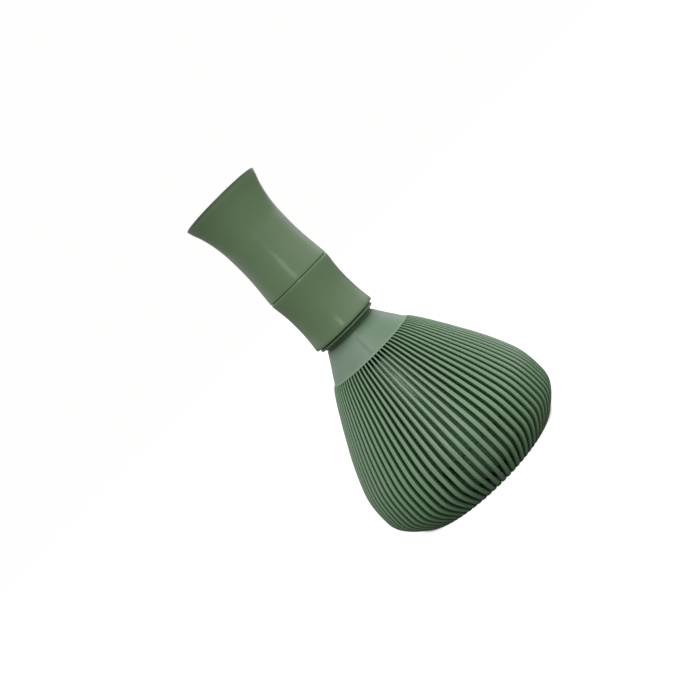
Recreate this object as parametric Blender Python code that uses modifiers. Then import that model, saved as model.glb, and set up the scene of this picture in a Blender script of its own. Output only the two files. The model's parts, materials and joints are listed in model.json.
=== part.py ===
"""Matcha whisk in moulded sage-green plastic, after the shape of a split-bamboo chasen.

The whisk stands on its tine tips with the handle up. +Z is its turning axis and z = 0 is
the plane it stands on. Everything is in metres; the drawing dimensions below are in
millimetres, as (height above the tips, radius), and MM converts them.

Pieces, from the top:
  upper_handle   flared, hollow grip with a diaphragm above its socket
  lower_handle   second grip length, plugged into the upper one; bored for the comb's neck
  collar_ring    thin loose ring on the neck, between the grip and the comb
  outer_comb     neck, conical shoulder and the bell of fine tines curled in at their tips,
                 one moulding
  inner_comb     stem, boss and a smaller bell of tines, pushed up inside the outer comb
"""

import math

import bmesh
import bpy
from mathutils import Vector

# ---------------------------------------------------------------- driving dimensions, mm
MM = 0.001
HEIGHT = 120.0            # whole whisk, tips to rim
FIT = 0.30                # gap kept between pieces that touch

# upper handle
SEAM_Z = 85.52            # joint line between the two grip lengths
DIAPHRAGM_TOP = 91.0      # floor of the hollow
DIAPHRAGM_LOW = 89.4
SOCKET_R = 8.90           # takes the lower handle's plug

# lower handle
HANDLE_LOW = 65.1         # its lower end
PLUG_R = SOCKET_R - FIT
PLUG_TOP = DIAPHRAGM_LOW - 0.4
PLUG_BORE_R = 6.60
NECK_STOP_Z = 78.8        # the neck's end meets this step
NECK_SOCKET_R = 8.30

# collar ring
RING_R = 10.90
RING_TOP = 64.75
RING_LOW = 63.90

# outer comb
NECK_R = NECK_SOCKET_R - FIT
NECK_TOP = NECK_STOP_Z - FIT
STEM_BORE_R = 4.50
RING_SEAT_Z = RING_LOW - FIT
RING_SEAT_R = 9.00
CONE_TOP_Z = 62.60
CONE_TOP_R = 9.83
SHOULDER_Z = 53.66        # edge of the shoulder, where the slots start
SHOULDER_R = 15.50
TINES = 80
SLOT_TOP_W = 0.78         # slot width at the shoulder
SLOT_LOW_W = 1.00         # slot width at and below the bulge
SLOT_IN_R = 13.05         # the slots are cut from this radius outward

# inner comb
STEM_R = STEM_BORE_R - FIT
STEM_TOP = 76.0
INNER_TINES = 40
INNER_SLOT_W = 1.00
INNER_SLOT_IN_R = 14.0
INNER_SLOT_Z = 25.0       # the inner bell is whole above this height
INNER_PHASE = 2.25        # degrees; puts the inner slots behind the outer tines

# turned outlines: (height, radius)
UPPER_OUT = [(HEIGHT, 13.95), (119.72, 14.28), (118.0, 13.76), (116.0, 13.00), (114.0, 12.39),
             (112.0, 11.91), (109.5, 11.47), (107.0, 11.15), (104.0, 10.99), (100.0, 10.92),
             (97.0, 10.97), (94.0, 11.14), (91.0, 11.41), (88.0, 11.71), (86.3, 11.88),
             (SEAM_Z + 0.15, 11.90)]
UPPER_IN = [(DIAPHRAGM_TOP, 9.00), (104.0, 9.36), (108.5, 9.72), (112.0, 10.32), (115.0, 11.15),
            (118.0, 12.25), (119.75, 12.95), (HEIGHT, 13.20)]
LOWER_OUT = [(SEAM_Z - 0.15, 11.90), (84.9, 11.95), (84.0, 11.88), (82.0, 11.61), (80.0, 11.41),
             (78.0, 11.27), (75.5, 11.21), (73.0, 11.26), (70.5, 11.38), (68.0, 11.63),
             (66.4, 11.86), (65.5, 11.96), (HANDLE_LOW, 11.88)]
CONE_OUT = [(CONE_TOP_Z, CONE_TOP_R), (62.0, 10.13), (59.0, 12.02),
            (SHOULDER_Z, SHOULDER_R)]
BELL_OUT = [(53.55, 16.38), (48.0, 20.01), (42.0, 23.59), (35.0, 27.55), (28.0, 31.10),
            (20.0, 34.00), (13.0, 34.90), (9.2, 34.65), (5.8, 32.75), (3.3, 30.48),
            (1.1, 27.70), (0.0, 24.90), (0.2, 22.20)]
BELL_THICK = [(53.55, 2.75), (45.0, 2.45), (28.0, 2.15), (11.5, 2.00), (5.5, 1.80), (0.0, 1.25)]
INNER_OUT = [(50.3, 13.90), (46.5, 16.60), (42.0, 19.00), (37.0, 20.40), (30.0, 21.25),
             (24.0, 21.50), (16.0, 21.45), (9.5, 20.95), (5.0, 19.90), (2.4, 18.70)]
INNER_THICK = 1.70


AXIS = 0.0


# ---------------------------------------------------------------- helpers
def read_table(table, z):
    """Straight-line value of a (height, value) table that runs downwards."""
    if z >= table[0][0]:
        return table[0][1]
    for (z0, v0), (z1, v1) in zip(table, table[1:]):
        if z >= z1:
            return v0 + (v1 - v0) * (z0 - z) / (z0 - z1)
    return table[-1][1]


def inward_offset(outline, thickness):
    """The inner side of a wall: each point moved along the outline's normal to the inside."""
    moved = []
    for i, (z, r) in enumerate(outline):
        za, ra = outline[max(i - 1, 0)]
        zb, rb = outline[min(i + 1, len(outline) - 1)]
        along = Vector((rb - ra, zb - za)).normalized()
        normal = Vector((along.y, -along.x))      # to the left of a downward run, so inward
        t = thickness(z)
        moved.append((z + normal.y * t, r + normal.x * t))
    return moved


def collection(name):
    made = bpy.data.collections.new(name)
    bpy.context.scene.collection.children.link(made)
    return made


def material(name, colour, rough):
    made = bpy.data.materials.new(name)
    made.use_nodes = True
    shader = made.node_tree.nodes["Principled BSDF"]
    shader.inputs["Base Color"].default_value = (*colour, 1.0)
    shader.inputs["Roughness"].default_value = rough
    shader.inputs["Metallic"].default_value = 0.0
    made.diffuse_color = (*colour, 1.0)
    return made


def turned(name, outline, steps, where, surface, phase=0.0):
    """A closed outline of (height, radius) points, spun round Z with a Screw modifier.

    The outline starts on the outer side, runs down it, and comes back up the inner side.
    phase turns the outline's own plane round Z, in degrees, from +X.
    """
    mesh = bpy.data.meshes.new(name)
    made = bpy.data.objects.new(name, mesh)
    bm = bmesh.new()
    turn = math.radians(phase)
    points = [bm.verts.new((r * math.cos(turn) * MM, r * math.sin(turn) * MM, z * MM))
              for z, r in outline]
    for a, b in zip(points, points[1:] + points[:1]):
        bm.edges.new((a, b))
    bm.to_mesh(mesh)
    bm.free()
    where.objects.link(made)
    mesh.materials.append(surface)
    spin = made.modifiers.new("spin", "SCREW")
    spin.axis = "Z"
    spin.angle = math.tau
    spin.steps = steps
    spin.render_steps = steps
    spin.use_merge_vertices = True
    spin.merge_threshold = 0.00001
    spin.use_smooth_shade = True
    return made


def turned_cup(name, outline, steps, where, surface, phase=0.0):
    """As turned(), for an outline whose two ends lie on the axis and are left open there."""
    made = turned(name, outline, steps, where, surface, phase)
    bm = bmesh.new()
    bm.from_mesh(made.data)
    on_axis = [e for e in bm.edges if all(v.co.xy.length < 1e-9 for v in e.verts)]
    bmesh.ops.delete(bm, geom=on_axis, context="EDGES")
    bm.to_mesh(made.data)
    bm.free()
    return made


def slot_cutter(name, count, r_in, r_out, widths, where, phase=0.0):
    """A wheel of thin blades, one for each slot; widths is a (height, width) table."""
    bm = bmesh.new()
    for k in range(count):
        turn = math.tau * k / count + math.radians(phase)
        out = Vector((math.cos(turn), math.sin(turn), 0.0))
        side = Vector((-out.y, out.x, 0.0))
        rows = []
        for z, width in widths:
            rows.append([bm.verts.new((out * r + side * (s * width / 2.0)
                                       + Vector((0.0, 0.0, z))) * MM)
                         for r, s in ((r_in, -1), (r_out, -1), (r_out, 1), (r_in, 1))])
        bm.faces.new(rows[0])
        bm.faces.new(list(reversed(rows[-1])))
        for upper, lower in zip(rows, rows[1:]):
            for i in range(4):
                j = (i + 1) % 4
                bm.faces.new((upper[j], upper[i], lower[i], lower[j]))
    mesh = bpy.data.meshes.new(name)
    bm.to_mesh(mesh)
    bm.free()
    made = bpy.data.objects.new(name, mesh)
    made.hide_render = True
    made.display_type = "WIRE"
    where.objects.link(made)
    return made


def cut(target, cutter):
    step = target.modifiers.new("cut_" + cutter.name, "BOOLEAN")
    step.operation = "DIFFERENCE"
    step.solver = "EXACT"
    step.object = cutter


# ---------------------------------------------------------------- the scene
for old in list(bpy.data.objects):
    bpy.data.objects.remove(old, do_unlink=True)

whisk = collection("matcha_whisk")
cutters = collection("cutters")

upper_green = material("upper_handle_plastic", (0.145, 0.180, 0.125), 0.45)
lower_green = material("lower_handle_plastic", (0.140, 0.176, 0.121), 0.45)
ring_green = material("collar_ring_plastic", (0.160, 0.205, 0.145), 0.45)
outer_green = material("outer_comb_plastic", (0.215, 0.305, 0.215), 0.42)
inner_green = material("inner_comb_plastic", (0.180, 0.250, 0.180), 0.45)

# Flared grip: down its outer side, up the socket to the diaphragm's underside at the axis,
# then out along the diaphragm's top and up the hollow.
turned_cup("upper_handle",
           UPPER_OUT
           + [(SEAM_Z + 0.15, SOCKET_R), (DIAPHRAGM_LOW, SOCKET_R), (DIAPHRAGM_LOW, AXIS)]
           + [(DIAPHRAGM_TOP, AXIS)] + UPPER_IN,
           48, whisk, upper_green)

turned("lower_handle",
       [(PLUG_TOP, PLUG_R - 0.4), (PLUG_TOP - 0.4, PLUG_R), (SEAM_Z - 0.15, PLUG_R)]
       + LOWER_OUT
       + [(HANDLE_LOW, NECK_SOCKET_R), (NECK_STOP_Z, NECK_SOCKET_R),
          (NECK_STOP_Z, PLUG_BORE_R), (PLUG_TOP, PLUG_BORE_R)],
       48, whisk, lower_green)

turned("collar_ring",
       [(RING_TOP, RING_R - 0.12), (RING_TOP - 0.12, RING_R), (RING_LOW + 0.12, RING_R),
        (RING_LOW, RING_R - 0.12), (RING_LOW, NECK_SOCKET_R), (RING_TOP, NECK_SOCKET_R)],
       48, whisk, ring_green)

# Outer comb: the wall of the bell follows its outline at the tines' radial depth.
bell_in = inward_offset(BELL_OUT, lambda z: read_table(BELL_THICK, z))
bell_in = [p for i, p in enumerate(bell_in) if i in (1, 3, 5, 7, 8, 10, 12)]
outer_comb = turned("outer_comb",
                    [(NECK_TOP, NECK_R), (RING_SEAT_Z, NECK_R),
                     (RING_SEAT_Z, RING_SEAT_R), (CONE_TOP_Z, RING_SEAT_R)]
                    + CONE_OUT + BELL_OUT
                    + list(reversed(bell_in))
                    + [(52.6, 13.2), (54.2, 12.2), (56.6, STEM_BORE_R), (NECK_TOP, STEM_BORE_R)],
                    TINES, whisk, outer_green)
cut(outer_comb, slot_cutter("outer_slots", TINES, SLOT_IN_R, 40.0,
                            [(SHOULDER_Z, SLOT_TOP_W), (20.0, SLOT_LOW_W), (-3.0, SLOT_LOW_W)],
                            cutters))

# Inner comb: boss under the shoulder, then its own bell, slotted over its lower half.
inner_in = inward_offset(INNER_OUT, lambda z: INNER_THICK)
inner_in = [(z, r) for z, r in inner_in if z < 45.5]
inner_comb = turned_cup("inner_comb",
                        [(STEM_TOP, AXIS), (STEM_TOP, STEM_R - 0.4), (STEM_TOP - 0.4, STEM_R),
                         (51.4, STEM_R), (50.9, 12.9)]
                        + INNER_OUT
                        + list(reversed(inner_in))
                        + [(48.6, 10.2), (49.6, AXIS)],
                        INNER_TINES, whisk, inner_green, INNER_PHASE)
cut(inner_comb, slot_cutter("inner_slots", INNER_TINES, INNER_SLOT_IN_R, 24.5,
                            [(INNER_SLOT_Z, INNER_SLOT_W), (-3.0, INNER_SLOT_W)], cutters,
                            INNER_PHASE))

bpy.context.view_layer.update()
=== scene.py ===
"""Looks for the matcha whisk: fine turned shells, rounded tines and satin moulded plastic."""

import json
import math

import bmesh
import bpy
from mathutils import Matrix, Vector


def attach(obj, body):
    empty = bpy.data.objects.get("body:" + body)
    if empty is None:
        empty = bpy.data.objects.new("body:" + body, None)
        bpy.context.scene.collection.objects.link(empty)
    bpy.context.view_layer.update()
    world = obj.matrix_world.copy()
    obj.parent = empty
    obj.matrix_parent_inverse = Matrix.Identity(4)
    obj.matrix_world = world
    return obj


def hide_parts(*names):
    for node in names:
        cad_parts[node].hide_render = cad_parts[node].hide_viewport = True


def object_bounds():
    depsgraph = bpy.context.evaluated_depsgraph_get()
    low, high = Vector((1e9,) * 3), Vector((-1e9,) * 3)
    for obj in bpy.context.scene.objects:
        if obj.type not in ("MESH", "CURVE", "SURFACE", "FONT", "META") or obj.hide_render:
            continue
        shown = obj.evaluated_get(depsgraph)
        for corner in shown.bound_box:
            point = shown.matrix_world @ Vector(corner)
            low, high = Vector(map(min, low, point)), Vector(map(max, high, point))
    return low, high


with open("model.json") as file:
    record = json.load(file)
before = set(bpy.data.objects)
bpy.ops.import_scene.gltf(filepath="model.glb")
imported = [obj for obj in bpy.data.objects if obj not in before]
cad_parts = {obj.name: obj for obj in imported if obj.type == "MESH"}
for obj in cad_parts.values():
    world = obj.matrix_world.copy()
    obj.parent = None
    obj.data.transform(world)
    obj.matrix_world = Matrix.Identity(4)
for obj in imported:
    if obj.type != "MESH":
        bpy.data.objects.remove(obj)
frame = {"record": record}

cad_lo, cad_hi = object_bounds()

MM = 0.001
BODIES = {n: b for b, ns in frame["record"]["behaviour"]["bodies"].items() for n in ns}


# ------------------------------------------------------------------ curves and meshes
def smooth_curve(points, step):
    """A natural cubic through (z, r) points, by chord length, read about every step mm."""
    n = len(points)
    s = [0.0]
    for (z0, r0), (z1, r1) in zip(points, points[1:]):
        s.append(s[-1] + math.hypot(z1 - z0, r1 - r0))

    def second(values):
        a, b, c, d = [0.0] * n, [1.0] * n, [0.0] * n, [0.0] * n
        for i in range(1, n - 1):
            h0, h1 = s[i] - s[i - 1], s[i + 1] - s[i]
            a[i], b[i], c[i] = h0, 2 * (h0 + h1), h1
            d[i] = 6 * ((values[i + 1] - values[i]) / h1 - (values[i] - values[i - 1]) / h0)
        for i in range(1, n):
            w = a[i] / b[i - 1]
            b[i] -= w * c[i - 1]
            d[i] -= w * d[i - 1]
        m = [0.0] * n
        m[-1] = d[-1] / b[-1]
        for i in range(n - 2, -1, -1):
            m[i] = (d[i] - c[i] * m[i + 1]) / b[i]
        return m

    columns = [[p[k] for p in points] for k in (0, 1)]
    bends = [second(c) for c in columns]
    count = max(2, int(round(s[-1] / step)))
    made, i = [], 0
    for k in range(count + 1):
        t = s[-1] * k / count
        while i < n - 2 and t > s[i + 1]:
            i += 1
        h = s[i + 1] - s[i]
        u, v = (s[i + 1] - t) / h, (t - s[i]) / h
        made.append(tuple(
            u * c[i] + v * c[i + 1]
            + ((u ** 3 - u) * m[i] + (v ** 3 - v) * m[i + 1]) * h * h / 6
            for c, m in zip(columns, bends)))
    return made


def table(rows, z):
    """Smooth-step value of a (z, value) table that runs downwards."""
    if z >= rows[0][0]:
        return rows[0][1]
    for (z0, v0), (z1, v1) in zip(rows, rows[1:]):
        if z >= z1:
            t = (z0 - z) / (z0 - z1)
            return v0 + (v1 - v0) * t
    return rows[-1][1]


def fillet(points, radius, steps=4):
    """Rounds the inner corners of an open polyline of (z, r) points."""
    made = [points[0]]
    for a, b, c in zip(points, points[1:], points[2:]):
        va, vc = Vector(a) - Vector(b), Vector(c) - Vector(b)
        if va.length < 1e-9 or vc.length < 1e-9:
            continue
        cut = min(radius, va.length * 0.45, vc.length * 0.45)
        pa, pc = Vector(b) + va.normalized() * cut, Vector(b) + vc.normalized() * cut
        for k in range(steps + 1):
            t = k / steps
            p = (1 - t) ** 2 * pa + 2 * t * (1 - t) * Vector(b) + t ** 2 * pc
            made.append((p.x, p.y))
    made.append(points[-1])
    return made


def new_object(name, bm, smooth=True):
    mesh = bpy.data.meshes.new(name)
    bmesh.ops.recalc_face_normals(bm, faces=bm.faces)
    for f in bm.faces:
        f.smooth = smooth
    bm.to_mesh(mesh)
    bm.free()
    made = bpy.data.objects.new(name, mesh)
    bpy.context.scene.collection.objects.link(made)
    return made


def lathe(bm, outline, steps, closed=True):
    """Spins (z, r) points round Z; a point on the axis becomes one vertex."""
    rings = []
    for z, r in outline:
        if r < 1e-6:
            rings.append([bm.verts.new((0, 0, z * MM))])
        else:
            rings.append([bm.verts.new((r * math.cos(a) * MM, r * math.sin(a) * MM, z * MM))
                          for a in (math.tau * k / steps for k in range(steps))])
    pairs = list(zip(rings, rings[1:]))
    if closed:
        pairs.append((rings[-1], rings[0]))
    for a, b in pairs:
        if len(a) == 1 and len(b) == 1:
            continue
        for k in range(steps):
            j = (k + 1) % steps
            if len(a) == 1:
                bm.faces.new((a[0], b[j], b[k]))
            elif len(b) == 1:
                bm.faces.new((a[k], a[j], b[0]))
            else:
                bm.faces.new((a[k], a[j], b[j], b[k]))


# ------------------------------------------------------------------ the handle
UPPER_OUT = [(119.70, 14.26), (118.0, 13.76), (116.0, 13.00), (114.0, 12.39), (112.0, 11.91),
             (110.0, 11.54), (108.0, 11.27), (106.0, 11.07), (103.0, 10.96), (100.0, 10.92),
             (97.0, 10.97), (94.0, 11.14), (91.0, 11.41), (88.0, 11.71), (86.3, 11.88),
             (85.65, 11.93)]
UPPER_IN = [(92.6, 9.02), (98.0, 9.14), (104.0, 9.36), (108.5, 9.72), (112.0, 10.32),
            (115.0, 11.15), (118.0, 12.25), (119.70, 12.95)]
LOWER_OUT = [(85.31, 11.92), (84.9, 11.93), (84.0, 11.86), (82.0, 11.61), (80.0, 11.41),
             (78.0, 11.27), (75.5, 11.21), (73.0, 11.26), (70.5, 11.38), (68.0, 11.63),
             (66.4, 11.86), (65.75, 11.925), (65.22, 11.935)]


def handle_pieces():
    bm = bmesh.new()
    rim = [(119.70, 12.95), (119.88, 13.03), (119.97, 13.20), (120.0, 13.40), (120.0, 13.88),
           (119.96, 14.08), (119.85, 14.21), (119.70, 14.26)]
    # the joint line: the lower grip's spigot stands in the upper grip's counterbore
    seam = [(85.65, 11.93), (85.62, 11.92), (85.60, 11.88), (85.60, 11.66), (85.61, 11.62),
            (86.90, 11.58), (87.05, 11.45), (87.05, 9.1), (87.2, 8.9), (89.2, 8.9), (89.4, 8.7)]
    floor = [(91.0, 7.2), (91.2, 8.2), (91.7, 8.85), (92.6, 9.02)]
    outline = (smooth_curve(UPPER_OUT, 0.5) + seam[1:] + [(89.4, 0.0), (91.0, 0.0)]
               + floor[:-1] + smooth_curve(UPPER_IN, 0.9) + rim[1:-1])
    lathe(bm, outline, 180)
    upper = new_object("grip_upper", bm)

    bm = bmesh.new()
    outline = ([(89.0, 8.2), (88.9, 8.45), (88.6, 8.6), (86.75, 8.6), (86.75, 11.38),
                (86.65, 11.48), (85.40, 11.52), (85.35, 11.56), (85.35, 11.84), (85.36, 11.89)]
               + smooth_curve(LOWER_OUT, 0.45)
               + [(65.12, 11.91), (65.06, 11.85), (65.04, 11.74), (65.04, 8.7), (65.3, 8.38),
                  (65.6, 8.3), (78.8, 8.3), (78.8, 6.6), (89.0, 6.6)])
    lathe(bm, outline, 180)
    lower = new_object("grip_lower", bm)

    bm = bmesh.new()
    # the ring has a thin raised land on top, which keeps it off the grip
    outline = ([(64.90, 8.30), (64.90, 10.35), (64.86, 10.45), (64.62, 10.50)]
               + [(64.60, 10.75), (64.52, 10.86), (64.38, 10.90), (63.98, 10.90),
                  (63.84, 10.86), (63.74, 10.72), (63.74, 8.30)])
    lathe(bm, outline, 180)
    ring = new_object("neck_ring", bm)
    return upper, lower, ring


# ------------------------------------------------------------------ the combs
BELL_OUT = [(53.10, 16.40), (52.0, 17.32), (50.0, 18.72), (48.0, 20.01), (45.0, 21.80),
            (42.0, 23.59), (40.0, 24.72), (35.0, 27.55), (30.0, 30.12), (25.0, 32.36),
            (21.5, 33.68), (18.65, 34.38), (15.6, 34.76), (12.55, 34.87), (10.2, 34.78),
            (8.58, 34.42), (7.0, 33.62), (5.43, 32.42), (3.9, 31.00), (2.37, 29.28),
            (1.44, 28.20), (0.70, 27.15), (0.22, 26.15), (0.02, 25.10), (0.0, 24.2),
            (0.05, 23.3), (0.20, 22.3)]
BELL_THICK = [(53.5, 2.60), (45.0, 2.40), (28.0, 2.10), (11.5, 1.95), (5.5, 1.75), (0.0, 1.20)]
INNER_OUT = [(49.9, 14.05), (46.5, 16.50), (42.0, 18.90), (37.0, 20.30), (30.0, 21.15),
             (24.0, 21.42), (16.0, 21.38), (9.5, 20.88), (5.0, 19.82), (2.5, 18.75)]
INNER_SLOT_Z = 13.0
# painted shade tables of (z, extra depth): NECK_SHADE darkens the shoulder just under the ring,
# ROOT_SHADE darkens the tines where they leave the lip and towards their tips
NECK_SHADE = [(62.4, 0.29), (61.8, 0.24), (61.5, 0.20), (61.1, 0.15), (60.2, 0.12), (58.5, 0.0)]
ROOT_SHADE = [(53.3, 0.11), (51.5, 0.05), (49.0, 0.0), (17.0, 0.0), (11.0, 0.09),
              (5.0, 0.12), (0.0, 0.10)]
EDGE_EASE = [(7.0, 1.0), (2.0, 0.5)]


def tine_rows(path, thickness, pitch, slot, crown, count_out):
    """Cross-sections of one tine on the +X side: rows of (x, y, z, depth), outer side first.

    depth is how far down the slot a point lies, in mm, except on the tine's back; the material reads
    it as painted shade.
    """
    rows = []
    last = len(path) - 1
    for i, (z, r) in enumerate(path):
        za, ra = path[max(i - 1, 0)]
        zb, rb = path[min(i + 1, last)]
        along = Vector((rb - ra, zb - za)).normalized()
        inward = Vector((along.y, -along.x))
        t = table(thickness, z) if isinstance(thickness, list) else thickness
        gap = table(slot, z) if isinstance(slot, list) else slot
        half = (math.tan(math.radians(pitch) / 2) * r * 2 - gap) / 2
        t_here = t
        if i == last:                                   # the very end is eased, not pointed
            half *= 0.86
            t_here *= 0.86
        edge = min(0.30, half * 0.42, t_here * 0.3) * table(EDGE_EASE, z)
        row = []
        # outer crown, from -y to +y, rounded into the flanks
        for k in range(count_out + 1):
            a = math.pi * k / count_out
            y = -half * math.cos(a)
            lift = crown * half * (1 - (y / half) ** 2)
            corner = edge * (1 - min(1.0, (half - abs(y)) / edge)) ** 2
            d = (crown * half - lift) + corner
            row.append((r + inward.x * d, y, z + inward.y * d, d))
        narrow = half - math.tan(math.radians(pitch) / 2) * t_here * max(0.0, -inward.x)
        narrow = max(narrow, half * 0.45)
        for y, d in ((half * 0.5 + narrow * 0.5, t_here * 0.55), (narrow, t_here - edge),
                     (narrow - edge * 0.6, t_here), (-narrow + edge * 0.6, t_here),
                     (-narrow, t_here - edge), (-half * 0.5 - narrow * 0.5, t_here * 0.55)):
            # the tine's back takes the light inside the bell, so its depth is set to 0.15 and only
            # the flanks get the painted shade
            shade_depth = 0.15 if d > t_here * 0.7 else d
            row.append((r + inward.x * d, y, z + inward.y * d, shade_depth))
        rows.append(row)
    return rows


def add_tines(bm, rows, count, phase):
    """count copies of the tine, turned round Z; phase in degrees is the first one's place."""
    layer = bm.verts.layers.float.get("depth") or bm.verts.layers.float.new("depth")
    for k in range(count):
        turn = Matrix.Rotation(math.tau * k / count + math.radians(phase), 4, "Z")
        made = [[bm.verts.new(turn @ (Vector(p[:3]) * MM)) for p in row] for row in rows]
        for verts, row in zip(made, rows):
            for vert, p in zip(verts, row):
                vert[layer] = p[3] + table(ROOT_SHADE, p[2])
        width = len(made[0])
        for a, b in zip(made, made[1:]):
            for i in range(width):
                j = (i + 1) % width
                bm.faces.new((a[i], b[i], b[j], a[j]))
        bm.faces.new(made[0])
        bm.faces.new(list(reversed(made[-1])))


def outer_comb_piece():
    bm = bmesh.new()
    neck = [(78.5, 4.5), (78.5, 7.6), (78.1, 8.0), (63.75, 8.0), (63.6, 8.15), (63.6, 9.62),
            (63.45, 9.60), (63.1, 9.52), (62.80, 9.46), (62.68, 9.50), (62.60, 9.62),
            (62.54, 9.78)]
    cone = smooth_curve([(62.45, 9.88), (62.0, 10.13), (60.0, 11.37), (58.0, 12.67),
                         (56.0, 14.04), (54.0, 15.32), (53.86, 15.42)], 0.6)
    lip = [(53.68, 15.58), (53.52, 15.88), (53.40, 15.96), (53.28, 15.94), (53.22, 15.80)]
    under = [(53.20, 14.6), (52.7, 13.3), (54.0, 12.4), (56.6, 4.7), (57.2, 4.5)]
    lathe(bm, neck + cone + lip + under, 240)
    # painted shade darkens the groove under the ring and the underside, a painted highlight lightens
    # the lip over the slots, the shoulder fades into painted shade under the ring, and the mould's
    # parting line runs down each side of the shoulder as one fine soft groove, darkened with painted
    # shade
    layer = bm.verts.layers.float.new("depth")
    for vert in bm.verts:
        z, r = vert.co.z / MM, math.hypot(vert.co.x, vert.co.y) / MM
        if z > 62.5 or z < 53.21:
            vert[layer] = 1.0
        elif r > 9.5 and z < 53.70:
            vert[layer] = -1.0
        elif r > 9.5:
            bearing = math.degrees(math.atan2(vert.co.y, vert.co.x))
            off = min(abs(bearing + 91.5), abs(bearing - 88.5))
            line = math.exp(-(off / 3.8) ** 2) * min(1.0, (z - 53.7) / 0.6)
            vert[layer] = max(table(NECK_SHADE, z), 0.165 * line)
            if off < 0.4:
                vert.co.x *= (r - 0.03) / r
                vert.co.y *= (r - 0.03) / r
    path = smooth_curve(BELL_OUT, 0.95)
    path = [(53.90, 14.9), (53.42, 15.75)] + path
    rows = tine_rows(path, BELL_THICK, 4.5, [(53.6, 0.78), (20.0, 1.0), (8.0, 1.0), (3.2, 0.70), (1.5, 0.36), (0.6, 0.18), (0.0, 0.12)], 0.20, 8)
    add_tines(bm, rows, 80, 2.25)
    return new_object("comb_outer", bm)


def offset_in(path, distance):
    """The path moved inward along its normal."""
    made = []
    for i, (z, r) in enumerate(path):
        za, ra = path[max(i - 1, 0)]
        zb, rb = path[min(i + 1, len(path) - 1)]
        along = Vector((rb - ra, zb - za)).normalized()
        made.append((z - along.x * distance, r + along.y * distance))
    return made


def inner_comb_piece():
    bm = bmesh.new()
    path = smooth_curve(INNER_OUT, 0.9)
    whole = [p for p in path if p[0] > INNER_SLOT_Z - 0.2]
    inner = [p for p in offset_in(path, 1.6) if INNER_SLOT_Z - 0.2 < p[0] < 45.5]
    outline = ([(76.0, 0.0), (76.0, 3.8), (75.9, 4.05), (75.6, 4.2), (51.6, 4.2), (51.42, 4.4),
                (51.35, 4.8), (50.95, 12.4), (50.85, 13.0), (50.6, 13.5), (50.3, 13.82)]
               + whole + list(reversed(inner)) + [(47.6, 12.6), (48.7, 10.2), (49.5, 0.0)])
    lathe(bm, outline, 200, closed=False)
    low = [(z, r - 0.05 if z > INNER_SLOT_Z - 0.5 else r) for z, r in path if z < INNER_SLOT_Z + 1.2]
    rows = tine_rows(low, 1.5, 9.0, 0.7, 0.05, 8)
    add_tines(bm, rows, 40, 0.0)
    return new_object("comb_inner", bm)


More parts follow.
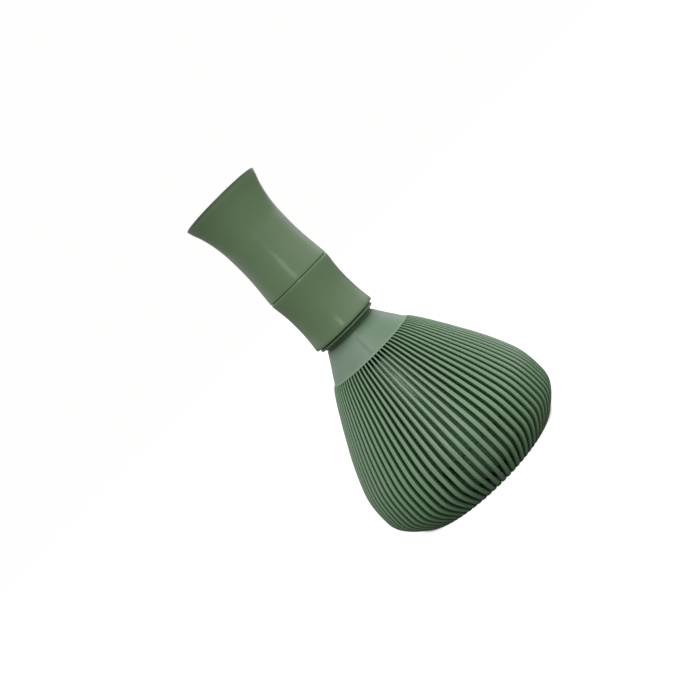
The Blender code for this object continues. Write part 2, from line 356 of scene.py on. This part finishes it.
# ------------------------------------------------------------------ materials
def plastic(name, colour, shade=1.0, rough=0.25, bump=0.10, slot_shade=1.0, lip=None, shoulder=None):
    """Moulded satin plastic: faint mottling, a fine spark-eroded texture, rubbed patches of
    roughness, and where asked painted shade in the slots and on the rim, a painted lip highlight and
    a painted cool reflection on the shoulder.
    """
    mat = bpy.data.materials.new(name)
    mat.use_nodes = True
    nt = mat.node_tree
    nodes, links = nt.nodes, nt.links
    shader = nodes["Principled BSDF"]
    where = nodes.new("ShaderNodeTexCoord")

    cloud = nodes.new("ShaderNodeTexNoise")
    cloud.inputs["Scale"].default_value = 42.0
    cloud.inputs["Detail"].default_value = 4.0
    cloud.inputs["Roughness"].default_value = 0.55
    links.new(where.outputs["Object"], cloud.inputs["Vector"])
    speck = nodes.new("ShaderNodeTexNoise")
    speck.inputs["Scale"].default_value = 4200.0
    speck.inputs["Detail"].default_value = 2.0
    links.new(where.outputs["Object"], speck.inputs["Vector"])

    tone = nodes.new("ShaderNodeValToRGB")
    tone.color_ramp.interpolation = "EASE"
    tone.color_ramp.elements[0].position = 0.22
    tone.color_ramp.elements[1].position = 0.80
    tone.color_ramp.elements[0].color = (*[c * shade * 0.955 for c in colour], 1)
    warm = (colour[0] * 1.03, colour[1] * 1.03, colour[2] * 1.02)
    tone.color_ramp.elements[1].color = (*[c * shade for c in warm], 1)
    links.new(cloud.outputs["Fac"], tone.inputs["Fac"])

    fleck = nodes.new("ShaderNodeMix")
    fleck.data_type = "RGBA"
    fleck.blend_type = "MULTIPLY"
    fleck.inputs["Factor"].default_value = 0.10
    grey = nodes.new("ShaderNodeValToRGB")
    grey.color_ramp.elements[0].position = 0.35
    grey.color_ramp.elements[1].position = 0.62
    grey.color_ramp.elements[0].color = (0.62, 0.66, 0.60, 1)
    grey.color_ramp.elements[1].color = (1, 1, 1, 1)
    links.new(speck.outputs["Fac"], grey.inputs["Fac"])
    links.new(tone.outputs["Color"], fleck.inputs["A"])
    links.new(grey.outputs["Color"], fleck.inputs["B"])
    skin = fleck.outputs["Result"]

    # painted reflection: the solid shoulder is tinted greyer and bluer than the tines, for the cool
    # light it reflects
    if shoulder:
        place = nodes.new("ShaderNodeSeparateXYZ")
        links.new(where.outputs["Object"], place.inputs["Vector"])
        solid = nodes.new("ShaderNodeMapRange")
        solid.inputs["From Min"].default_value = shoulder - 0.0001
        solid.inputs["From Max"].default_value = shoulder + 0.0001
        links.new(place.outputs["Z"], solid.inputs["Value"])
        cool_reflection = nodes.new("ShaderNodeMix")
        cool_reflection.data_type = "RGBA"
        cool_reflection.blend_type = "MULTIPLY"
        cool_reflection.inputs["B"].default_value = (0.905, 0.85, 0.955, 1)
        links.new(solid.outputs["Result"], cool_reflection.inputs["Factor"])
        links.new(skin, cool_reflection.inputs["A"])
        skin = cool_reflection.outputs["Result"]

    # painted shade in the slots: the tines' flanks are darker than their faces; the same depth
    # darkens the recess under the ring and the shoulder near it
    if slot_shade < 1.0:
        depth = nodes.new("ShaderNodeAttribute")
        depth.attribute_name = "depth"
        slot_shade_ramp = nodes.new("ShaderNodeMapRange")
        slot_shade_ramp.interpolation_type = "SMOOTHSTEP"
        slot_shade_ramp.inputs["From Min"].default_value = 0.03
        slot_shade_ramp.inputs["From Max"].default_value = 0.36
        links.new(depth.outputs["Fac"], slot_shade_ramp.inputs["Value"])
        painted_slot_shade = nodes.new("ShaderNodeMix")
        painted_slot_shade.data_type = "RGBA"
        painted_slot_shade.blend_type = "MULTIPLY"
        painted_slot_shade.inputs["B"].default_value = (slot_shade * 0.66, slot_shade, slot_shade * 0.62, 1)
        links.new(slot_shade_ramp.outputs["Result"], painted_slot_shade.inputs["Factor"])
        links.new(skin, painted_slot_shade.inputs["A"])
        # painted highlight: a depth of -1 lightens the lip over the slots
        lip_highlight_ramp = nodes.new("ShaderNodeMapRange")
        lip_highlight_ramp.inputs["From Min"].default_value = -0.2
        lip_highlight_ramp.inputs["From Max"].default_value = -1.0
        links.new(depth.outputs["Fac"], lip_highlight_ramp.inputs["Value"])
        pale = nodes.new("ShaderNodeMix")
        pale.data_type = "RGBA"
        pale.blend_type = "MULTIPLY"
        pale.inputs["B"].default_value = (1.30, 1.26, 1.30, 1)
        links.new(lip_highlight_ramp.outputs["Result"], pale.inputs["Factor"])
        links.new(painted_slot_shade.outputs["Result"], pale.inputs["A"])
        skin = pale.outputs["Result"]

    # painted shade: the open end's lip is darkened over its top millimetre
    if lip:
        place = nodes.new("ShaderNodeSeparateXYZ")
        links.new(where.outputs["Object"], place.inputs["Vector"])
        edge = nodes.new("ShaderNodeMapRange")
        edge.interpolation_type = "SMOOTHSTEP"
        edge.inputs["From Min"].default_value = lip - 0.0011
        edge.inputs["From Max"].default_value = lip - 0.0001
        links.new(place.outputs["Z"], edge.inputs["Value"])
        rim_shade = nodes.new("ShaderNodeMix")
        rim_shade.data_type = "RGBA"
        rim_shade.blend_type = "MULTIPLY"
        rim_shade.inputs["B"].default_value = (0.40, 0.37, 0.45, 1)
        links.new(edge.outputs["Result"], rim_shade.inputs["Factor"])
        links.new(skin, rim_shade.inputs["A"])
        skin = rim_shade.outputs["Result"]
    links.new(skin, shader.inputs["Base Color"])

    rub = nodes.new("ShaderNodeMapRange")
    rub.inputs["From Min"].default_value = 0.3
    rub.inputs["From Max"].default_value = 0.7
    rub.inputs["To Min"].default_value = rough - 0.03
    rub.inputs["To Max"].default_value = rough + 0.04
    links.new(cloud.outputs["Fac"], rub.inputs["Value"])
    links.new(rub.outputs["Result"], shader.inputs["Roughness"])

    grain = nodes.new("ShaderNodeBump")
    grain.inputs["Strength"].default_value = bump
    grain.inputs["Distance"].default_value = 0.00005
    links.new(speck.outputs["Fac"], grain.inputs["Height"])
    links.new(grain.outputs["Normal"], shader.inputs["Normal"])
    shader.inputs["Specular IOR Level"].default_value = 0.5
    mat.diffuse_color = (*colour, 1)
    return mat


# ------------------------------------------------------------------ build
upper, lower, ring = handle_pieces()
comb = outer_comb_piece()
core = inner_comb_piece()
# the outer comb is coloured lighter than the grips and the inner comb, painted light for the
# brighter light it catches
GRIP, COMB, CORE = (0.146, 0.235, 0.120), (0.213, 0.344, 0.210), (0.130, 0.238, 0.136)
for piece, node, mat in (
    (upper, "upper_handle", plastic("sage_upper", GRIP, lip=cad_hi[2])),
    (lower, "lower_handle", plastic("sage_lower", GRIP)),
    (ring, "collar_ring", plastic("sage_ring", GRIP, shade=0.85)),
    (comb, "outer_comb", plastic("sage_comb", COMB, slot_shade=0.36, shoulder=0.0532)),
    (core, "inner_comb", plastic("sage_core", CORE)),
):
    piece.data.materials.append(mat)
    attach(piece, BODIES[node])
    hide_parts(node)

# ------------------------------------------------------------------ stage
bm = bmesh.new()
bmesh.ops.create_grid(bm, x_segments=8, y_segments=8, size=3.0)
floor = new_object("floor", bm)
# a back-lit sheet of white paper: it glows at GLOW for camera rays, and takes a real soft contact
# shadow, deepened by painted shadow: its glow is masked off and its colour darkened under the whisk
GLOW = 0.97
paper = bpy.data.materials.new("white_paper")
paper.use_nodes = True
fine = paper.node_tree.nodes.new("ShaderNodeTexNoise")
fine.inputs["Scale"].default_value = 60.0
pale = paper.node_tree.nodes.new("ShaderNodeValToRGB")
pale.color_ramp.elements[0].color = (0.27, 0.27, 0.268, 1)
pale.color_ramp.elements[1].color = (0.29, 0.29, 0.288, 1)
sheet = paper.node_tree.nodes["Principled BSDF"]
paper.node_tree.links.new(fine.outputs["Fac"], pale.inputs["Fac"])
sheet.inputs["Roughness"].default_value = 0.95
sheet.inputs["Specular IOR Level"].default_value = 0.1
sheet.inputs["Emission Color"].default_value = (1.0, 1.0, 0.995, 1)
on_paper = paper.node_tree.nodes.new("ShaderNodeTexCoord")
reach = paper.node_tree.nodes.new("ShaderNodeVectorMath")
reach.operation = "LENGTH"
shadow = paper.node_tree.nodes.new("ShaderNodeMapRange")
shadow.interpolation_type = "SMOOTHSTEP"
shadow.inputs["From Min"].default_value = 0.0275
shadow.inputs["From Max"].default_value = 0.0297
centre = paper.node_tree.nodes.new("ShaderNodeVectorMath")
centre.operation = "SUBTRACT"
centre.inputs[1].default_value = (0.0, 0.005, 0.0)
paper.node_tree.links.new(on_paper.outputs["Object"], centre.inputs[0])
paper.node_tree.links.new(centre.outputs["Vector"], reach.inputs[0])
paper.node_tree.links.new(reach.outputs["Value"], shadow.inputs["Value"])
# painted contact shadow under the tines: the paper's colour darkens towards a dark green
close = paper.node_tree.nodes.new("ShaderNodeMapRange")
close.interpolation_type = "SMOOTHSTEP"
close.inputs["From Min"].default_value = 0.022
close.inputs["From Max"].default_value = 0.034
close.inputs["To Min"].default_value = 0.50
close.inputs["To Max"].default_value = 0.0
paper.node_tree.links.new(reach.outputs["Value"], close.inputs["Value"])
contact_shadow_tint = paper.node_tree.nodes.new("ShaderNodeMix")
contact_shadow_tint.data_type = "RGBA"
contact_shadow_tint.inputs["B"].default_value = (0.07, 0.11, 0.07, 1)
paper.node_tree.links.new(close.outputs["Result"], contact_shadow_tint.inputs["Factor"])
paper.node_tree.links.new(pale.outputs["Color"], contact_shadow_tint.inputs["A"])
paper.node_tree.links.new(contact_shadow_tint.outputs["Result"], sheet.inputs["Base Color"])
seen_from = paper.node_tree.nodes.new("ShaderNodeLightPath")
lift = paper.node_tree.nodes.new("ShaderNodeMath")
lift.operation = "MULTIPLY"
lift.inputs[1].default_value = GLOW
under = paper.node_tree.nodes.new("ShaderNodeMath")
under.operation = "MULTIPLY"
paper.node_tree.links.new(seen_from.outputs["Is Camera Ray"], under.inputs[0])
paper.node_tree.links.new(shadow.outputs["Result"], under.inputs[1])
paper.node_tree.links.new(under.outputs["Value"], lift.inputs[0])
paper.node_tree.links.new(lift.outputs["Value"], sheet.inputs["Emission Strength"])
floor.data.materials.append(paper)

# camera: level-ish, just below the rim, rolled so the handle points to the upper left
TAU = 0.090
TURN = math.radians(0.20)
DIST, CAM_H = 0.37706, 0.120 - 0.02781
right0 = Vector((1, 0, 0))
forward = Vector((0, math.cos(TAU), -math.sin(TAU)))
up0 = Vector((0, math.sin(TAU), math.cos(TAU)))
cam_x = (right0 - up0).normalized()
cam_y = (right0 + up0).normalized()
spot = Vector((-0.0043, -DIST, CAM_H))
around = Matrix.Rotation(TURN, 3, "Z")
basis = Matrix((around @ cam_x, around @ cam_y, around @ -forward)).transposed()
cam_data = bpy.data.cameras.new("camera")
cam_data.sensor_width = 36.0
cam_data.lens = 36.0 * 1201.4 / 700.0
camera = bpy.data.objects.new("camera", cam_data)
camera.matrix_world = Matrix.Translation(around @ spot) @ basis.to_4x4()
cam_data.clip_start, cam_data.clip_end = 0.01, 20.0
bpy.context.scene.collection.objects.link(camera)
bpy.context.scene.camera = camera


def area_light(name, spot, target, size, power, colour=(1, 1, 1)):
    data = bpy.data.lights.new(name, "AREA")
    data.shape = "RECTANGLE"
    data.size, data.size_y = size
    data.energy = power
    data.color = colour
    made = bpy.data.objects.new(name, data)
    made.location = spot
    made.rotation_mode = "QUATERNION"
    made.rotation_quaternion = (Vector(target) - Vector(spot)).to_track_quat("-Z", "Y")
    bpy.context.scene.collection.objects.link(made)
    return made


def round_whisk(azimuth, elevation, distance):
    """A place round the whisk: azimuth from the camera's side, to its right, in degrees."""
    az, el = math.radians(azimuth), math.radians(elevation)
    return (distance * math.cos(el) * math.sin(az), -distance * math.cos(el) * math.cos(az),
            0.06 + distance * math.sin(el))


# name: (azimuth, elevation, distance), (width, height), watts, colour
LIGHTS = {
    "front_strip": ((-1.5, 26, 0.75), (0.05, 0.44), 0.72, (1.0, 0.99, 0.96)),
    "top_strip": ((4, 47, 0.75), (0.10, 0.14), 0.30, (0.97, 1.0, 1.0)),
}
for label, (place, size, watts, tint) in LIGHTS.items():
    if watts > 0:
        area_light(label, round_whisk(*place), (0, 0, 0.06), size, watts, tint)

# the rest is the white studio itself: broad soft lobes, (azimuth, elevation, strength, tightness)
LOBES = [
    (35, 8, 0.45, 8),
    (70, 8, 0.72, 8),
    (105, 8, 0.45, 8),
    (130, 8, 0.70, 8),
    (-125, 8, 0.30, 8),
    (0, 50, 0.95, 8),
    (-90, 50, 0.25, 8),
    (0, 90, 0.40, 6),
]
WALLS, BACKDROP = 0.38, 1.0
world = bpy.data.worlds.new("studio")
world.use_nodes = True
bpy.context.scene.world = world
wn, wl = world.node_tree.nodes, world.node_tree.links
whither = wn.new("ShaderNodeTexCoord")
total = None
for azimuth, elevation, strength, tightness in LOBES:
    az, el = math.radians(azimuth), math.radians(elevation)
    facing = wn.new("ShaderNodeVectorMath")
    facing.operation = "DOT_PRODUCT"
    facing.inputs[1].default_value = (math.cos(el) * math.sin(az), -math.cos(el) * math.cos(az),
                                      math.sin(el))
    wl.new(whither.outputs["Generated"], facing.inputs[0])
    last = facing.outputs["Value"]
    for operation, value in (("MAXIMUM", 0.0), ("POWER", tightness), ("MULTIPLY", strength)):
        step = wn.new("ShaderNodeMath")
        step.operation = operation
        step.inputs[1].default_value = value
        wl.new(last, step.inputs[0])
        last = step.outputs["Value"]
    join = wn.new("ShaderNodeMath")
    join.operation = "ADD"
    join.inputs[1].default_value = WALLS
    wl.new(last, join.inputs[0])
    if total is not None:
        wl.new(total, join.inputs[1])
    total = join.outputs["Value"]
sky = wn["Background"]
sky.inputs["Color"].default_value = (1, 1, 1, 1)
wl.new(total, sky.inputs["Strength"])
seen = wn.new("ShaderNodeBackground")
seen.inputs["Color"].default_value = (0.995, 0.995, 0.99, 1)
seen.inputs["Strength"].default_value = BACKDROP
which, pick = wn.new("ShaderNodeLightPath"), wn.new("ShaderNodeMixShader")
wl.new(which.outputs["Is Camera Ray"], pick.inputs[0])
wl.new(sky.outputs["Background"], pick.inputs[1])
wl.new(seen.outputs["Background"], pick.inputs[2])
wl.new(pick.outputs["Shader"], wn["World Output"].inputs["Surface"])
bpy.context.scene.view_settings.view_transform = "Standard"
